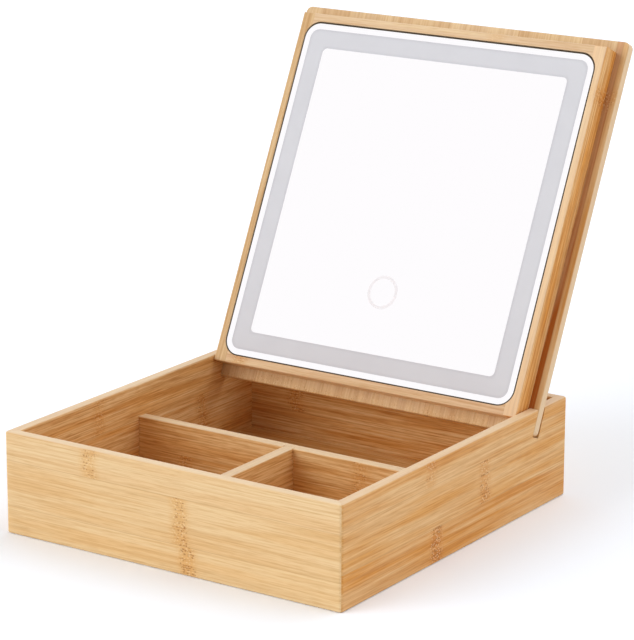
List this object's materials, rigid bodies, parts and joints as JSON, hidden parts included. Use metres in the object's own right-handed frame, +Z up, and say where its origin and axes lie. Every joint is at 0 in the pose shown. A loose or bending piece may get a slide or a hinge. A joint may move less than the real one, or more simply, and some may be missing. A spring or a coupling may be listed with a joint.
{
  "type": "vanity box with mirror",
  "caption": "Open bamboo vanity box with divided compartments and a removable lid that stands in side slots and carries a framed, edge-lit mirror.",
  "frame": {"origin": "middle of the box's underside, where it stands on a table", "axes": "+Z up, +X to the right of someone who looks into the mirror, +Y to the back of the box, where the lid leans"},
  "size_m": [0.22, 0.2978, 0.2505],
  "materials": {
    "bamboo": "laminated bamboo, grain along each board, sanded and clear lacquered, satin",
    "mirror_glass": "silvered float glass with a frosted light band and a small frosted touch ring",
    "foam_tape": "dark closed-cell foam",
    "opal_acrylic": "milky, matt",
    "white_film": "white film, matt",
    "circuit_board": "white solder mask",
    "led_package": "pale phosphor in a white package",
    "copper_foil": "thin copper foil",
    "moulded_abs": "warm white, fine moulded texture",
    "cell_jacket": "plain printed sleeve over a steel can, unmarked",
    "nickel_plate": "nickel plated spring steel",
    "screw_steel": "zinc plated",
    "wire_sleeve": "thin pvc sleeve"
  },
  "bodies": {
    "box": {"front_board": "bamboo", "rear_board": "bamboo", "left_board": "bamboo", "right_board": "bamboo", "bottom_panel": "bamboo", "long_divider": "bamboo", "short_divider": "bamboo"},
    "lid": {"lid_panel": "bamboo", "left_stile": "bamboo", "right_stile": "bamboo", "top_rail": "bamboo", "bottom_rail": "bamboo", "mirror_glass": "mirror_glass", "mirror_tape": "foam_tape", "light_diffuser": "opal_acrylic", "reflector_sheet": "white_film", "led_board": "circuit_board", "led_chips": "led_package", "touch_pad": "copper_foil", "control_board": "circuit_board", "battery_box": "moulded_abs", "box_screws": "screw_steel", "aaa_cell_1": "cell_jacket", "aaa_cell_2": "cell_jacket", "aaa_cell_3": "cell_jacket", "aaa_cell_4": "cell_jacket", "upper_contacts": "nickel_plate", "lower_contacts": "nickel_plate", "battery_wires": "wire_sleeve", "led_wires": "wire_sleeve", "sensor_wire": "wire_sleeve"},
    "battery_cover": {"battery_cover": "moulded_abs"}
  },
  "joints": [
    {"name": "lid_lift", "type": "slide", "parent": "box", "child": "lid", "axis": [0, 0.4384, 0.8988], "range_m": [0, 0.025]},
    {"name": "cover_slide", "type": "slide", "parent": "lid", "child": "battery_cover", "axis": [0, 0.4384, 0.8988], "range_m": [0, 0.062]}
  ]
}
